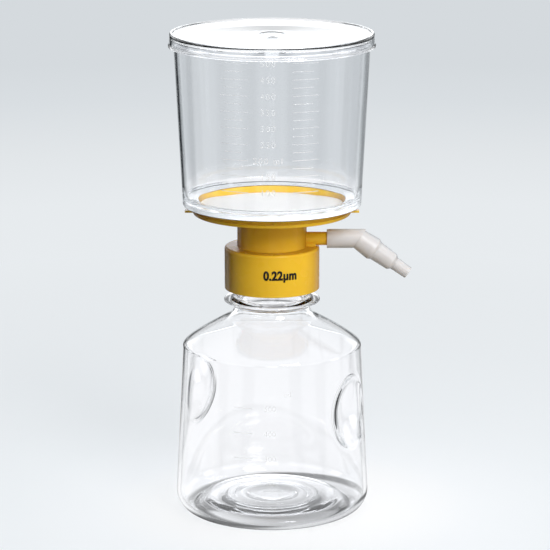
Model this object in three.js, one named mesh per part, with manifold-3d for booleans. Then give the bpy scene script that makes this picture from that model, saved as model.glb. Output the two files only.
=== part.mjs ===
// Vacuum filtration unit: a clear bottle with a filter head screwed on its neck, a clear funnel
// welded on the head, a loose lid, and a hose adapter that turns on the head's side arm.
// Millimetres, +Z up. Every piece is drawn about the bottle's axis, standing on z = 0. At the end
// the assembly is moved sideways so that its origin is under the middle of its outline.

import * as THREE from 'three';
import { mergeVertices } from 'three/addons/utils/BufferGeometryUtils.js';
import Module from 'manifold-3d';

const wasm = await Module();
wasm.setup();

// ---------------------------------------------------------------- driving dimensions

const SEGMENTS = 48;               // facets round the main axis, the same on every round piece
const GAP = 0.3;                   // clearance between pieces that touch
const SHORTEST_EDGE = 0.08;        // shorter edges left by a join or cut are closed up

// bottle
const RING_INNER = 38.7;           // standing ring
const RING_OUTER = 41.1;
const HEEL_R = 50.15;              // widest place, just above the base
const HEEL_Z = 10.4;
const SHOULDER_R = 46.24;          // top of the tapered side
const SHOULDER_Z = 88;
const SLOPE_START = [41.5, 92.5];  // straight slope of the shoulder, (radius, height)
const SLOPE_END = [27, 101.2];
const WALL = 2;                    // side wall
const HEEL_FLOOR_Z = 1.9;          // lowest place inside
const PUNT_Z = 5.6;                // raised middle of the base
const PUNT_R = 32;
const PUNT_EDGE_Z = 5;             // height at the edge of the raised middle
const PUNT_GROOVE = [19, 24];      // ring groove under the base, and a round pit in the middle
const PUNT_PIT_R = 13;
const PUNT_GROOVE_DEPTH = 0.9;
const NECK_R = 19.8;
const NECK_BORE = 17.6;
const NECK_Z = 108.2;              // where the neck leaves the shoulder
const LIP_Z = 135.8;
const LIP_CHAMFER = 0.6;
const BEAD_R = 24.8;               // transfer bead: sloping faces and a narrow round edge
const BEAD_Z = 112;
const BEAD_EDGE = 0.6;             // half the height of the edge
const BEAD_ROOT = [109.2, 113.9];  // where its faces meet the neck

// thumb grips: two ball-shaped recesses on opposite sides of the bottle
const GRIP_AZIMUTH = -28.6;        // degrees from +X
const GRIP_Z = 58.5;
const GRIP_BALL_R = 27.6;
const GRIP_BALL_OUT = 69.1;        // distance of the ball's middle from the bottle's axis

// screw thread between bottle and collar
const PITCH = 4;
const THREAD_BASE = 2;             // width of the thread at its root, and at its crest
const THREAD_CREST = 0.9;
const BOTTLE_THREAD = { root: NECK_R, crest: 21.5, z: 121.6, turns: 1.5 };
const COLLAR_THREAD = { root: 22.1, crest: 20.5, z: 121.6 - PITCH / 2, turns: 1.5 };

// filter head
const COLLAR_R = 24.5;
const COLLAR_BORE = COLLAR_THREAD.root;
const COLLAR_BOTTOM = 118.1;
const COLLAR_TOP = 140.2;
const COLLAR_FILLET = 1.3;
const ROOF_Z = LIP_Z + 1.7;        // inside of the collar's top, above the gasket
const STEM_R = 17.9;               // stem between collar and plate
const STEM_BORE = 15.9;
const SPOUT_R = 5;                 // drip spout inside the stem
const SPOUT_TIP_R = 4.4;
const SPOUT_BORE = 3.4;
const SPOUT_TIP = 127;
const PLATE_R = 40.6;
const PLATE_BOTTOM = 157.8;
const PLATE_TOP = 164.1;
const GROOVE_Z = [159.5, 160.3];   // groove round the plate's edge
const GROOVE_DEPTH = 0.7;
const WELL_R = 38;                 // well that holds the membrane
const WELL_Z = 159.4;
const RIB_TOP = 160;               // concentric drain ribs under the membrane
const RIB_RADII = [9, 16, 23, 30];
const RIB_WIDTH = 1.6;
const RIB_SLOTS = 6;               // radial slots that let the filtrate reach the spout
const SLOT_WIDTH = 3;
const EAR_REACH = 44.8;            // two thin lugs on the plate
const EAR_WIDTH = 4;
const EAR_THICK = 1;

// side arm and its air filter
const ARM_Z = 143.9;
const ARM_R = 3.5;
const ARM_BORE = 1.9;
const ARM_END = 39;
const WEB_WIDTH = 5.6;             // web between the arm and the collar's top
const WEB_HEIGHT = 2.4;
const PLUG_SPAN = [23, 35];

// membrane and gasket
const MEMBRANE_R = 37.5;
const MEMBRANE_THICK = 0.4;
const GASKET = { inner: 16.6, outer: 21.7, thick: 1.1 };

// funnel
const FUNNEL_BOTTOM = 164.4;       // underside of the ledge, on the plate
const FUNNEL_FOOT = 162.3;         // the heel hangs round the plate's edge down to here
const FUNNEL_SKIRT_R = 41.1;
const FUNNEL_HEEL_R = 45.9;
const FUNNEL_RIM_Z = 248.2;
const FUNNEL_RIM_R = 50.1;
const FUNNEL_LIP_R = 50.7;         // thickened lip at the mouth
const FUNNEL_LIP_Z = 245.6;
const FUNNEL_WALL = 1.8;
const FUNNEL_LEDGE = 1;            // thickness of the flat ledge round the well
const FUNNEL_SLOPE_Z = 167.3;      // a steep slope runs from the wall down to the ledge
const FUNNEL_HEEL_FILLET = 0.8;

// lid
const LID_TOP = 251;
const LID_PANEL_Z = 250.3;         // flat panel inside a low raised edge
const LID_EDGE_R = 50.6;           // inner radius of the raised edge
const LID_SKIRT_R = 52.2;
const LID_BEAD_R = 52.8;
const LID_BEAD_TOP = 244.8;
const LID_BOTTOM = 243.9;
const LID_CHAMFER = 0.5;
const LID_WALL = 1.2;
const LID_DIMPLE_R = 6.5;
const LID_DIMPLE_DEPTH = 0.5;

// hose adapter: a sleeve over the side arm, an elbow, and three stepped hose sizes
const SLEEVE_START = 28.3;
const SLEEVE_R = 4.95;
const ELBOW_X = 44.4;
const ELBOW_ANGLE = THREE.MathUtils.degToRad(35);
const HOSE_STEPS = [               // where each step ends along the slope, and its radii
  { end: 9.6, from: 5.3, to: 6.1 },
  { end: 21.2, from: 5.2, to: 4.7 },
  { end: 31.5, from: 3.4, to: 3.2 },
];
const HOSE_SHOULDER = 1.6;         // length of the cone between two steps
const HOSE_BORE = 1.7;

// ---------------------------------------------------------------- materials

const clearPolystyrene = new THREE.MeshStandardMaterial({ color: 0xdfe8ec, roughness: 0.05 });
const yellowPolypropylene = new THREE.MeshStandardMaterial({ color: 0xe0a823, roughness: 0.38 });
const whitePolyethylene = new THREE.MeshStandardMaterial({ color: 0xd9d6d3, roughness: 0.45 });
const whiteMembrane = new THREE.MeshStandardMaterial({ color: 0xf4f3ef, roughness: 0.9 });
const greySilicone = new THREE.MeshStandardMaterial({ color: 0xe6e2da, roughness: 0.6 });
const cotton = new THREE.MeshStandardMaterial({ color: 0xf7f5ef, roughness: 1 });

// ---------------------------------------------------------------- solids

/** A closed three.js geometry as a solid: shared corners merged, slivers at the axis dropped. */
function solid(geometry) {
  const bare = geometry.clone();
  bare.deleteAttribute('normal');
  bare.deleteAttribute('uv');
  const merged = mergeVertices(bare, 1e-4);
  const corners = merged.index.array;
  const kept = [];
  for (let i = 0; i < corners.length; i += 3) {
    const [a, b, c] = [corners[i], corners[i + 1], corners[i + 2]];
    if (a !== b && b !== c && c !== a) kept.push(a, b, c);
  }
  return new wasm.Manifold(new wasm.Mesh({
    numProp: 3,
    vertProperties: new Float32Array(merged.attributes.position.array),
    triVerts: new Uint32Array(kept),
  }));
}

/** A solid as a named mesh of the assembly. */
function piece(name, shape, material) {
  const { vertProperties, triVerts } = shape.simplify(SHORTEST_EDGE).getMesh();
  const geometry = new THREE.BufferGeometry();
  geometry.setAttribute('position', new THREE.BufferAttribute(vertProperties, 3));
  geometry.setIndex(new THREE.BufferAttribute(triVerts, 1));
  geometry.computeVertexNormals();
  const mesh = new THREE.Mesh(geometry, material);
  mesh.name = name;
  return mesh;
}

/** Turns an outline of (radius, height) about +Z. The outline runs anticlockwise. */
function turned(outline, divisions = 3, segments = SEGMENTS) {
  const lathe = new THREE.LatheGeometry(outline.getPoints(divisions), segments);
  return solid(lathe.rotateX(Math.PI / 2));
}

/** A plain outline through the given (radius, height) corners, closed on itself. */
function outlineThrough(...corners) {
  const outline = new THREE.Path();
  outline.moveTo(...corners[0]);
  for (const corner of corners.slice(1)) outline.lineTo(...corner);
  outline.lineTo(...corners[0]);
  return outline;
}

/** A ring of rectangular section. */
function ring(inner, outer, bottom, top) {
  return turned(outlineThrough([inner, bottom], [outer, bottom], [outer, top], [inner, top]));
}

/** A round bar along +Z, from one height to another, straight or tapered. */
function bar(bottom, top, radiusBottom, radiusTop = radiusBottom, segments = 20) {
  const cylinder = new THREE.CylinderGeometry(radiusTop, radiusBottom, top - bottom, segments);
  cylinder.rotateX(Math.PI / 2).translate(0, 0, (bottom + top) / 2);
  return solid(cylinder);
}

/** A box given by its size and the middle of it. */
function block(size, middle) {
  return solid(new THREE.BoxGeometry(...size).translate(...middle));
}

/** Moves a solid by turning +Z towards a direction in the XZ plane and shifting it. */
function along(shape, direction, x, z) {
  const turn = Math.PI / 2 - direction;
  return shape.rotate([0, THREE.MathUtils.radToDeg(turn), 0]).translate([x, 0, z]);
}

/** A screw thread: a straight bar of trapezoid section, bent round the axis at the pitch. */
function thread({ root, crest, z, turns }) {
  const buried = root + Math.sign(root - crest) * 0.5;
  const section = new THREE.Shape([
    new THREE.Vector2(buried, -THREAD_BASE / 2),
    new THREE.Vector2(crest, -THREAD_CREST / 2),
    new THREE.Vector2(crest, THREAD_CREST / 2),
    new THREE.Vector2(buried, THREAD_BASE / 2),
  ]);
  const steps = Math.round(SEGMENTS * turns);
  const straight = new THREE.ExtrudeGeometry(section, { depth: turns, steps, bevelEnabled: false });
  const places = straight.attributes.position;
  for (let i = 0; i < places.count; i++) {
    const turn = turns - places.getZ(i);
    const angle = 2 * Math.PI * (turn + 0.5 / SEGMENTS);
    const radius = places.getX(i);
    const height = z + PITCH * turn + places.getY(i);
    places.setXYZ(i, radius * Math.cos(angle), radius * Math.sin(angle), height);
  }
  return solid(straight);
}

// ---------------------------------------------------------------- bottle

/** Height at which the shoulder's straight slope, run on, would reach a radius. */
function slopeAt(radius) {
  const [r0, z0] = SLOPE_START;
  const [r1, z1] = SLOPE_END;
  return z0 + (z1 - z0) * (radius - r0) / (r1 - r0);
}

/** The bottle's outside, standing ring to lip, without the grips. */
function bottleOutside() {
  const [grooveIn, grooveOut] = PUNT_GROOVE;
  const grooveZ = PUNT_Z - PUNT_GROOVE_DEPTH;
  const outline = new THREE.Path();
  outline.moveTo(0, grooveZ);
  outline.lineTo(PUNT_PIT_R - 1, grooveZ);
  outline.lineTo(PUNT_PIT_R, PUNT_Z);
  outline.lineTo(grooveIn, PUNT_Z);
  outline.lineTo(grooveIn + 1, grooveZ);
  outline.lineTo(grooveOut - 1, grooveZ);
  outline.lineTo(grooveOut, PUNT_Z);
  outline.lineTo(PUNT_R, PUNT_EDGE_Z);
  outline.quadraticCurveTo(RING_INNER - 1, PUNT_EDGE_Z, RING_INNER, 0);
  outline.lineTo(RING_OUTER, 0);
  outline.absellipse(RING_OUTER, HEEL_Z, HEEL_R - RING_OUTER, HEEL_Z, -Math.PI / 2, 0);
  outline.lineTo(SHOULDER_R, SHOULDER_Z);
  outline.quadraticCurveTo(SHOULDER_R, slopeAt(SHOULDER_R), ...SLOPE_START);
  outline.lineTo(...SLOPE_END);
  outline.quadraticCurveTo(NECK_R, slopeAt(NECK_R), NECK_R, NECK_Z);
  outline.lineTo(NECK_R, BEAD_ROOT[0]);
  outline.absarc(BEAD_R - BEAD_EDGE, BEAD_Z, BEAD_EDGE, -Math.PI / 2, Math.PI / 2);
  outline.lineTo(NECK_R, BEAD_ROOT[1]);
  outline.lineTo(NECK_R, LIP_Z - LIP_CHAMFER);
  outline.lineTo(NECK_R - LIP_CHAMFER, LIP_Z);
  outline.lineTo(0, LIP_Z);
  return turned(outline);
}

/** The space inside the bottle, open through the neck, without the grips. */
function bottleInside() {
  const innerR = HEEL_R - WALL;
  const heelStart = RING_INNER + 1.4;
  const [slopeR0, slopeZ0] = SLOPE_START;
  const [slopeR1, slopeZ1] = SLOPE_END;
  const [inR, inZ] = [WALL * 0.5, WALL * 0.86];   // the wall's thickness, square to the slope
  const outline = new THREE.Path();
  outline.moveTo(0, PUNT_Z + WALL);
  outline.lineTo(PUNT_R, PUNT_EDGE_Z + WALL);
  outline.quadraticCurveTo(RING_INNER, PUNT_EDGE_Z + WALL, heelStart, HEEL_FLOOR_Z);
  outline.absellipse(
    heelStart, HEEL_Z, innerR - heelStart, HEEL_Z - HEEL_FLOOR_Z, -Math.PI / 2, 0,
  );
  outline.lineTo(SHOULDER_R - WALL, SHOULDER_Z);
  outline.quadraticCurveTo(
    SHOULDER_R - WALL, slopeAt(SHOULDER_R) - inZ,
    slopeR0 - inR, slopeZ0 - inZ,
  );
  outline.lineTo(slopeR1 - inR, slopeZ1 - inZ);
  outline.quadraticCurveTo(NECK_BORE, slopeAt(NECK_BORE) - WALL, NECK_BORE, NECK_Z);
  outline.lineTo(NECK_BORE, LIP_Z + 1);
  outline.lineTo(0, LIP_Z + 1);
  return turned(outline);
}

/** The two thumb recesses: a ball sunk in the wall, larger all round by the given margin. */
function grips(margin) {
  const outline = new THREE.Path();
  outline.absarc(0, GRIP_BALL_OUT, GRIP_BALL_R + margin, -Math.PI / 2, 0);
  outline.lineTo(0, GRIP_BALL_OUT);
  const ball = turned(outline, 8, 32).rotate([0, 90, 0]).translate([0, 0, GRIP_Z]);
  return ball.rotate([0, 0, GRIP_AZIMUTH]).add(ball.rotate([0, 0, GRIP_AZIMUTH + 180]));
}

function bottle() {
  const inside = bottleInside().subtract(grips(WALL));
  return bottleOutside().subtract(grips(0)).subtract(inside).add(thread(BOTTLE_THREAD));
}

// ---------------------------------------------------------------- filter head

/** Plate, stem and collar: one turned shape, open from the collar to the plate's underside. */
function headBody() {
  const [grooveLow, grooveHigh] = GROOVE_Z;
  const outline = new THREE.Path();
  outline.moveTo(COLLAR_BORE, COLLAR_BOTTOM);
  outline.lineTo(COLLAR_R, COLLAR_BOTTOM);
  outline.lineTo(COLLAR_R, COLLAR_TOP - COLLAR_FILLET);
  const [filletR, filletZ] = [COLLAR_R - COLLAR_FILLET, COLLAR_TOP - COLLAR_FILLET];
  outline.absarc(filletR, filletZ, COLLAR_FILLET, 0, Math.PI / 2);
  outline.lineTo(STEM_R, COLLAR_TOP);
  outline.lineTo(STEM_R, PLATE_BOTTOM);
  outline.lineTo(PLATE_R, PLATE_BOTTOM);
  outline.lineTo(PLATE_R, grooveLow);
  outline.lineTo(PLATE_R - GROOVE_DEPTH, grooveLow);
  outline.lineTo(PLATE_R - GROOVE_DEPTH, grooveHigh);
  outline.lineTo(PLATE_R, grooveHigh);
  outline.lineTo(PLATE_R, PLATE_TOP);
  outline.lineTo(WELL_R, PLATE_TOP);
  outline.lineTo(WELL_R, WELL_Z);
  outline.lineTo(SPOUT_BORE, WELL_Z);
  outline.lineTo(SPOUT_BORE, SPOUT_TIP);
  outline.lineTo(SPOUT_TIP_R, SPOUT_TIP);
  outline.lineTo(SPOUT_R, PLATE_BOTTOM);
  outline.lineTo(STEM_BORE, PLATE_BOTTOM);
  outline.lineTo(STEM_BORE, ROOF_Z);
  outline.lineTo(COLLAR_BORE, ROOF_Z);
  outline.lineTo(COLLAR_BORE, COLLAR_BOTTOM);
  return turned(outline, 2);
}

/** Concentric ribs that carry the membrane, cut through by radial slots. */
function drainRibs() {
  const buried = WELL_Z - 0.5;
  const middles = RIB_RADII.map((radius) => (
    ring(radius - RIB_WIDTH / 2, radius + RIB_WIDTH / 2, buried, RIB_TOP)
  ));
  const slots = [];
  for (let i = 0; i < RIB_SLOTS; i++) {
    const reach = RIB_RADII.at(-1) + RIB_WIDTH;
    const slot = block([reach, SLOT_WIDTH, 1], [reach / 2, 0, WELL_Z + 0.5]);
    slots.push(slot.rotate([0, 0, (i + 0.5) * 360 / RIB_SLOTS]));
  }
  return wasm.Manifold.union(middles).subtract(wasm.Manifold.union(slots));
}

/** Two thin lugs that stand out from the plate's lower edge, over and opposite the side arm. */
function ears() {
  const middle = PLATE_BOTTOM + EAR_THICK / 2;
  const [below, above] = [PLATE_BOTTOM - 1, PLATE_BOTTOM + EAR_THICK + 1];
  const strip = block([2 * EAR_REACH + EAR_WIDTH, EAR_WIDTH, EAR_THICK], [0, 0, middle]);
  const rounding = bar(below, above, EAR_REACH, EAR_REACH, SEGMENTS * 2);
  const core = bar(below, above, WELL_R, WELL_R, SEGMENTS);
  return strip.intersect(rounding).subtract(core);
}

/** The side arm, from inside the stem wall to the end that the hose adapter covers. */
function sideArm() {
  const rootX = (STEM_R + STEM_BORE) / 2;
  const tube = along(bar(rootX, ARM_END, ARM_R), 0, 0, ARM_Z);
  const webEnd = COLLAR_R - 2;
  const webMiddle = [(webEnd + rootX) / 2, 0, COLLAR_TOP + 0.9];
  return tube.add(block([webEnd - rootX, WEB_WIDTH, WEB_HEIGHT], webMiddle));
}

function filterHead() {
  const armBore = along(bar(STEM_BORE - 3, ARM_END + 1, ARM_BORE, ARM_BORE, 16), 0, 0, ARM_Z);
  return headBody()
    .add(drainRibs())
    .add(ears())
    .add(sideArm())
    .add(thread(COLLAR_THREAD))
    .subtract(armBore);
}

// ---------------------------------------------------------------- small parts in the head

function membrane() {
  const bottom = RIB_TOP + GAP;
  return bar(bottom, bottom + MEMBRANE_THICK, MEMBRANE_R, MEMBRANE_R, SEGMENTS);
}

function neckGasket() {
  const top = ROOF_Z - GAP;
  return ring(GASKET.inner, GASKET.outer, top - GASKET.thick, top);
}

function airFilterPlug() {
  return along(bar(...PLUG_SPAN, ARM_BORE - GAP, ARM_BORE - GAP, 16), 0, 0, ARM_Z);
}

// ---------------------------------------------------------------- funnel and lid

function funnel() {
  const ledge = FUNNEL_BOTTOM + FUNNEL_LEDGE;
  const slope = FUNNEL_SLOPE_Z - ledge;
  const fillet = FUNNEL_HEEL_FILLET;
  const innerHeelR = FUNNEL_HEEL_R - FUNNEL_WALL;
  const outline = new THREE.Path();
  outline.moveTo(WELL_R, FUNNEL_BOTTOM);
  outline.lineTo(FUNNEL_SKIRT_R, FUNNEL_BOTTOM);
  outline.lineTo(FUNNEL_SKIRT_R, FUNNEL_FOOT);
  outline.lineTo(FUNNEL_HEEL_R - fillet, FUNNEL_FOOT);
  outline.quadraticCurveTo(FUNNEL_HEEL_R, FUNNEL_FOOT, FUNNEL_HEEL_R, FUNNEL_FOOT + fillet);
  outline.lineTo(FUNNEL_RIM_R, FUNNEL_LIP_Z - (FUNNEL_LIP_R - FUNNEL_RIM_R));
  outline.lineTo(FUNNEL_LIP_R, FUNNEL_LIP_Z);
  outline.lineTo(FUNNEL_LIP_R, FUNNEL_RIM_Z);
  outline.lineTo(FUNNEL_RIM_R - FUNNEL_WALL, FUNNEL_RIM_Z);
  outline.lineTo(innerHeelR, FUNNEL_SLOPE_Z + fillet);
  outline.quadraticCurveTo(innerHeelR, FUNNEL_SLOPE_Z, innerHeelR - fillet, FUNNEL_SLOPE_Z - fillet);
  outline.lineTo(innerHeelR - slope, ledge);
  outline.lineTo(WELL_R, ledge);
  outline.lineTo(WELL_R, FUNNEL_BOTTOM);
  return turned(outline);
}

function lid() {
  const under = LID_PANEL_Z - LID_WALL;
  const skirtIn = LID_SKIRT_R - LID_WALL;
  const outline = new THREE.Path();
  outline.moveTo(0, under - LID_DIMPLE_DEPTH);
  outline.lineTo(LID_DIMPLE_R + LID_WALL, under - LID_DIMPLE_DEPTH);
  outline.lineTo(LID_DIMPLE_R + LID_WALL + LID_DIMPLE_DEPTH, under);
  outline.lineTo(skirtIn - LID_CHAMFER, under);
  outline.lineTo(skirtIn, under - LID_CHAMFER);
  outline.lineTo(skirtIn, LID_BOTTOM);
  outline.lineTo(LID_BEAD_R, LID_BOTTOM);
  outline.lineTo(LID_BEAD_R, LID_BEAD_TOP);
  outline.lineTo(LID_SKIRT_R, LID_BEAD_TOP + LID_CHAMFER);
  outline.lineTo(LID_SKIRT_R, LID_TOP - LID_CHAMFER);
  outline.lineTo(LID_SKIRT_R - LID_CHAMFER, LID_TOP);
  outline.lineTo(LID_EDGE_R, LID_TOP);
  outline.lineTo(LID_EDGE_R - LID_CHAMFER, LID_PANEL_Z);
  outline.lineTo(LID_DIMPLE_R + LID_DIMPLE_DEPTH, LID_PANEL_Z);
  outline.lineTo(LID_DIMPLE_R, LID_PANEL_Z - LID_DIMPLE_DEPTH);
  outline.lineTo(0, LID_PANEL_Z - LID_DIMPLE_DEPTH);
  return turned(outline);
}

// ---------------------------------------------------------------- hose adapter

/** The stepped part, turned about +Z, from the elbow to the tip. */
function hoseSteps() {
  const outline = new THREE.Path();
  outline.moveTo(0, 0);
  let start = 0;
  for (const { end, from, to } of HOSE_STEPS) {
    outline.lineTo(from, start);
    outline.lineTo(to, end);
    start = end + HOSE_SHOULDER;
  }
  outline.lineTo(0, HOSE_STEPS.at(-1).end);
  return turned(outline, 1, 24);
}

function hoseAdapter() {
  const slope = new THREE.Vector3(Math.cos(ELBOW_ANGLE), 0, -Math.sin(ELBOW_ANGLE));
  const elbow = new THREE.Vector3(ELBOW_X, 0, ARM_Z);
  const reach = SLEEVE_R * Math.tan(ELBOW_ANGLE);

  // the sleeve runs on past the elbow and is cut square to the slope, flush with the first step
  const sleeve = along(bar(SLEEVE_START, ELBOW_X + reach, SLEEVE_R, SLEEVE_R, 24), 0, 0, ARM_Z)
    .trimByPlane(slope.clone().negate().toArray(), -slope.dot(elbow) - GAP);
  const outside = sleeve.add(along(hoseSteps(), -ELBOW_ANGLE, ELBOW_X, ARM_Z));

  const socketEnd = ARM_END + GAP;
  const half = HOSE_BORE / 2;
  const tip = HOSE_STEPS.at(-1).end;
  const socket = bar(SLEEVE_START - 1, socketEnd, ARM_R + GAP, ARM_R + GAP, 24);
  const levelBore = bar(socketEnd - 1, ELBOW_X + half, HOSE_BORE, HOSE_BORE, 16);
  const slopeBore = bar(-half, tip + 1, HOSE_BORE, HOSE_BORE, 16);
  return outside
    .subtract(along(socket, 0, 0, ARM_Z))
    .subtract(along(levelBore, 0, 0, ARM_Z))
    .subtract(along(slopeBore, -ELBOW_ANGLE, ELBOW_X, ARM_Z));
}

// ---------------------------------------------------------------- assembly

const unit = new THREE.Group();
unit.add(
  piece('bottle', bottle(), clearPolystyrene),
  piece('neck_gasket', neckGasket(), greySilicone),
  piece('filter_head', filterHead(), yellowPolypropylene),
  piece('membrane', membrane(), whiteMembrane),
  piece('air_filter_plug', airFilterPlug(), cotton),
  piece('hose_adapter', hoseAdapter(), whitePolyethylene),
  piece('funnel', funnel(), clearPolystyrene),
  piece('lid', lid(), clearPolystyrene),
);

const outlineMiddle = new THREE.Box3().setFromObject(unit).getCenter(new THREE.Vector3());
unit.position.set(-outlineMiddle.x, -outlineMiddle.y, 0);

export default unit;
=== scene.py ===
import math

import bpy
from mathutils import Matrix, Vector


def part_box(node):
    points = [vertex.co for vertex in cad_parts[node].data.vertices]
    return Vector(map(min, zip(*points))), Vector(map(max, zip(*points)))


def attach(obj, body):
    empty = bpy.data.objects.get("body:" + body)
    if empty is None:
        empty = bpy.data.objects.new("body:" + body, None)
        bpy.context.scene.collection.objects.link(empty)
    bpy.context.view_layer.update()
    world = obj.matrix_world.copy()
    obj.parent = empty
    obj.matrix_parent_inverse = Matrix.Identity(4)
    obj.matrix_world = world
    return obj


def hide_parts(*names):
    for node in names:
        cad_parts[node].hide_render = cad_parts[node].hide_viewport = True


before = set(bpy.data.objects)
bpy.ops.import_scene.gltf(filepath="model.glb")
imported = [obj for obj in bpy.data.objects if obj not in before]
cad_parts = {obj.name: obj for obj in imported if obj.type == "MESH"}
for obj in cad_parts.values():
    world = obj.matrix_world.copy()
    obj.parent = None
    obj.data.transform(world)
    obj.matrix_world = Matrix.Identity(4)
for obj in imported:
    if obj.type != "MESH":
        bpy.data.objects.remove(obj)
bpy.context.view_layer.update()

MM = 0.001
bottle_low, bottle_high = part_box("bottle")
AXIS = Vector(((bottle_low.x + bottle_high.x) / 2, (bottle_low.y + bottle_high.y) / 2, 0))

BOTTLE_ROUND = 256             # facets round the axis on the bottle
ROUND = 192                    # on the funnel and lid
SMALL_ROUND = 96               # and on the small pieces

# bottle
HEEL_R, HEEL_Z = 50.15, 10.4
SHOULDER_R, SHOULDER_Z = 46.24, 88
SLOPE_TOP_R, SLOPE_TOP_Z = 24, 102.8
WALL = 2.0
NECK_R, NECK_BORE, LIP_Z = 19.8, 17.6, 135.8
BEAD_R, BEAD_Z, BEAD_EDGE = 24.8, 112, 0.6
BOTTLE_MARKS = ((500, 66), (400, 53), (300, 40), (200, 27), (100, 14))    # ml and height
GRIP_AZIMUTHS = (-28.6, 151.4)
GRIP_Z, GRIP_BALL_R, GRIP_BALL_OUT = 58.5, 27.6, 69.1

# filter head
COLLAR_R, COLLAR_BOTTOM, COLLAR_TOP = 24.5, 118.1, 140.2
COLLAR_BORE, COLLAR_ROOF = 22.1, 137.5
STEM_R, STEM_BORE = 17.9, 15.9
SPOUT_BORE, SPOUT_TIP_R, SPOUT_ROOT_R, SPOUT_TIP_Z = 3.4, 4.4, 5, 127
PLATE_R, PLATE_BOTTOM, PLATE_TOP = 40.6, 157.8, 164.1
GROOVE_LOW, GROOVE_HIGH, GROOVE_DEPTH = 159.5, 160.3, 0.7    # round the plate's edge
WELL_R, WELL_Z, EAR_REACH = 38, 159.4, 44.8
RIB_RADII, RIB_TOP = (9, 16, 23, 30), 160
NUB_R, NUB_RIGHT, NUB_Z = 0.8, 1.7, 160.3                    # moulding nub on the plate's front
ARM_Z, ARM_R, ARM_BORE, ARM_END = 143.9, 3.5, 1.9, 39
PITCH, THREAD_TURNS = 4, 1.5
NECK_CREST, NECK_THREAD_Z = 21.5, 121.6
COLLAR_CREST, COLLAR_THREAD_Z = 20.5, 119.6

# funnel and lid
FUNNEL_BOTTOM, FUNNEL_HEEL_R, FUNNEL_SLOPE_Z = 164.4, 45.9, 167.4
FUNNEL_FOOT, FUNNEL_SKIRT_R = 162.3, 41.1
FUNNEL_WALL_LOW, FUNNEL_WALL_HIGH = 165.3, 245.4             # the straight part of the wall
FUNNEL_RIM_Z, FUNNEL_RIM_R, FUNNEL_LIP_R, FUNNEL_WALL = 248.2, 50.1, 50.7, 1.8
FUNNEL_FIRST_MARK, FUNNEL_MARK_STEP = 177.2, 8.16            # 100 ml, and up for each 50 ml
LID_TOP, LID_PANEL_Z, LID_BOTTOM = 251, 250.3, 243.9
LID_SKIRT_R, LID_BEAD_R, LID_EDGE_R = 52.2, 52.8, 50.6

# hose adapter
SLEEVE_START, SLEEVE_R, ELBOW_X, ELBOW_DEG = 28.3, 4.95, 44.4, 35
HOSE_STEPS = ((9.6, 5.3, 6.1), (21.2, 5.2, 4.7), (31.5, 3.4, 3.2))
HOSE_SHOULDER, HOSE_BORE = 1.6, 1.7


# ------------------------------------------------------------------ camera

def put_camera():
    bpy.ops.object.camera_add(
        location=AXIS + Vector((0.00155, -1.40916, 0.45762)),
        rotation=(math.radians(76.7), 0, 0))
    camera = bpy.context.object
    camera.data.lens = 183.3
    camera.data.sensor_width = 36
    bpy.context.scene.camera = camera


# ------------------------------------------------------------------ shaping

def deselect():
    if bpy.context.object and bpy.context.object.mode != "OBJECT":
        bpy.ops.object.mode_set(mode="OBJECT")
    bpy.ops.object.select_all(action="DESELECT")


def only(piece):
    """Makes one piece the selected and active one."""
    deselect()
    piece.select_set(True)
    bpy.context.view_layer.objects.active = piece
    return piece


def curve(start, pull, end, pull_end=None, steps=8):
    """Points of a curved part of an outline, leaving start towards pull and reaching end."""
    points = []
    for i in range(1, steps + 1):
        t = i / steps
        if pull_end is None:
            weights = ((1 - t) ** 2, 2 * t * (1 - t), t * t)
            places = (start, pull, end)
        else:
            weights = ((1 - t) ** 3, 3 * t * (1 - t) ** 2, 3 * t * t * (1 - t), t ** 3)
            places = (start, pull, pull_end, end)
        points.append(tuple(sum(w * p[k] for w, p in zip(weights, places)) for k in (0, 1)))
    return points


def line(start, end, steps):
    """Evenly spaced points on a straight part of an outline, without its start."""
    return [tuple(a + (b - a) * i / steps for a, b in zip(start, end)) for i in range(1, steps + 1)]


def rounded(outline, radius, steps=3, sharp=()):
    """Rounds the corners of an outline by up to the radius. Corners named in sharp stay."""
    points = []
    for i, corner in enumerate(outline):
        if i in (0, len(outline) - 1) or i in sharp:
            points.append(corner)
            continue
        here, before, after = (Vector(p) for p in (corner, outline[i - 1], outline[i + 1]))
        reach = min(radius, (before - here).length * 0.45, (after - here).length * 0.45)
        start = here + (before - here).normalized() * reach
        end = here + (after - here).normalized() * reach
        points.append(tuple(start))
        points += curve(tuple(start), corner, tuple(end), steps=steps)
    return points


def turned(name, outline, steps, closed=False):
    """Draws an outline of (radius, height) point by point and spins it round the axis."""
    if closed:
        outline = list(outline) + [outline[0]]
    deselect()
    bpy.ops.mesh.primitive_circle_add(vertices=3, radius=MM, location=(0, 0, 0))
    piece = bpy.context.object
    piece.name = piece.data.name = name
    bpy.ops.object.mode_set(mode="EDIT")
    bpy.ops.mesh.merge(type="CENTER")
    bpy.ops.transform.translate(value=(outline[0][0] * MM, 0, outline[0][1] * MM))
    for (r0, z0), (r1, z1) in zip(outline, outline[1:]):
        step = ((r1 - r0) * MM, 0, (z1 - z0) * MM)
        bpy.ops.mesh.extrude_region_move(TRANSFORM_OT_translate={"value": step})
    bpy.ops.mesh.select_all(action="SELECT")
    bpy.ops.mesh.spin(steps=steps, angle=2 * math.pi, center=(0, 0, 0), axis=(0, 0, 1))
    bpy.ops.mesh.select_all(action="SELECT")
    bpy.ops.mesh.remove_doubles(threshold=1e-6)
    bpy.ops.mesh.normals_make_consistent(inside=False)
    bpy.ops.object.mode_set(mode="OBJECT")
    return piece


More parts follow.
